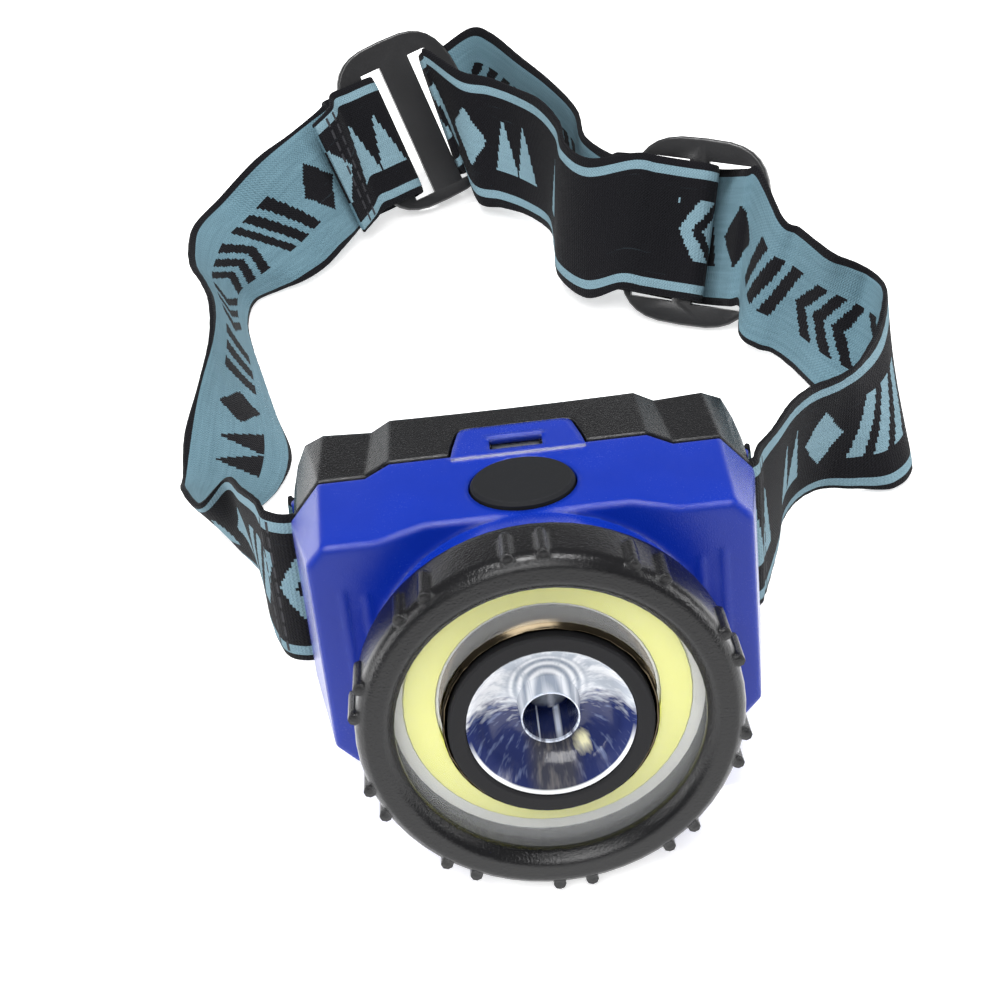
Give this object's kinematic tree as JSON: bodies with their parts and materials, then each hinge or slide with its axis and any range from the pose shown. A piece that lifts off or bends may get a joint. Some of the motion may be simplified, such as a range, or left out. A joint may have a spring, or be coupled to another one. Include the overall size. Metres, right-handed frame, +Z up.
{
  "type": "headlamp",
  "caption": "Camping headlamp: ribbed round head with ring light panel and centre lens, top button, hinged battery cover, woven head strap with slotted buckles.",
  "frame": {"origin": "on the table, under the middle of the object's box", "axes": "+Z up from the table, -Y the way the light points, +X to the right seen from the front"},
  "size_m": [0.1264, 0.1998, 0.0543],
  "materials": {
    "blue_abs": "satin moulded ABS",
    "black_abs": "satin moulded ABS",
    "black_matt": "matt moulded plastic",
    "button_rubber": "matt silicone rubber",
    "clear_lens": "clear polished acrylic",
    "mirror_plastic": "vacuum-metallised plastic",
    "white_board": "white solder mask",
    "phosphor": "soft yellow phosphor gel",
    "green_board": "solder mask",
    "steel": "bright nickel plate",
    "cell_can": "printed sleeve with no lettering",
    "red_wire": "PVC insulation",
    "black_wire": "PVC insulation",
    "webbing": "woven elastic webbing in black and light blue"
  },
  "bodies": {
    "lamp": {"front_housing": "blue_abs", "bezel_ring": "black_abs", "cover_lens": "clear_lens", "chrome_reflector": "mirror_plastic", "cob_board": "white_board", "cob_phosphor": "phosphor", "lens_collar": "black_matt", "collimator_lens": "clear_lens", "led_emitter": "phosphor", "led_board": "green_board", "switch_body": "steel", "main_board": "green_board", "battery_tray": "black_matt", "battery_cell_1": "cell_can", "battery_cell_2": "cell_can", "battery_cell_3": "cell_can", "contact_plate_1": "steel", "contact_plate_2": "steel", "contact_plate_3": "steel", "contact_spring_1": "steel", "contact_spring_2": "steel", "contact_spring_3": "steel", "tray_screw_1": "steel", "tray_screw_2": "steel", "tray_screw_3": "steel", "tray_screw_4": "steel", "led_wire_plus": "red_wire", "led_wire_minus": "black_wire", "battery_wire_plus": "red_wire", "battery_wire_minus": "black_wire", "hinge_pin": "steel", "strap_left": "webbing", "strap_right": "webbing", "buckle_joiner": "black_abs", "buckle_slider": "black_abs"},
    "cover": {"rear_cover": "black_abs"},
    "button": {"button_cap": "button_rubber", "switch_plunger": "black_matt"}
  },
  "joints": [
    {"name": "cover_hinge", "type": "hinge", "parent": "lamp", "child": "cover", "pos_m": [-0.00565, -0.0492, 0.0024], "axis": [-1, 0, 0], "range_deg": [0, 70]},
    {"name": "button_press", "type": "slide", "parent": "lamp", "child": "button", "axis": [0, -0.2689, -0.9632], "range_m": [0, 0.001], "stiffness_N_per_m": 300}
  ]
}
